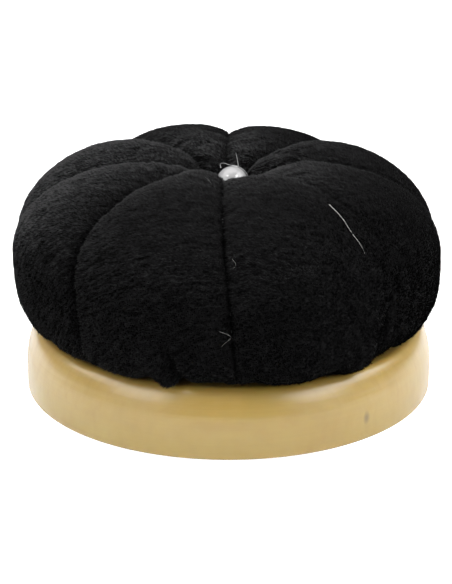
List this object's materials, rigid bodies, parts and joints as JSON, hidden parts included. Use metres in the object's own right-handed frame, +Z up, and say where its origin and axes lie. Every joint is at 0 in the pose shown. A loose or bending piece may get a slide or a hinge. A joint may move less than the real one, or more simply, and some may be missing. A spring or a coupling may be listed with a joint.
{
  "type": "pin cushion",
  "caption": "Pumpkin-shaped plush pin cushion glued to a round varnished wooden base, drawn into lobes by thread, with a pearl bead in the top dimple.",
  "frame": {"origin": "centre of the wooden base's flat underside", "axes": "+Z up through the cushion, -Y towards the front, +X to the right seen from the front"},
  "size_m": [0.0828, 0.0828, 0.046],
  "materials": {
    "varnished_wood": "pale wood under satin varnish",
    "hot_glue": "hardened glue",
    "black_plush": "short black plush pile",
    "white_fibre": "loose polyester filling",
    "black_thread": "twisted black thread",
    "pearl": "silvery pearl coating",
    "clear_nylon": "clear nylon filament"
  },
  "bodies": {
    "cushion": {"wooden_base": "varnished_wood", "glue_pad": "hot_glue", "plush_cover": "black_plush", "fibre_stuffing": "white_fibre", "gathering_thread": "black_thread", "lobe_thread": "black_thread", "bead_filament": "clear_nylon"},
    "bead": {"pearl_bead": "pearl"}
  },
  "joints": [
    {"name": "bead_spin", "type": "hinge", "parent": "cushion", "child": "bead", "pos_m": [0.00069, 0.00106, 0.04], "axis": [0, 0.4695, 0.8829], "continuous": true}
  ]
}
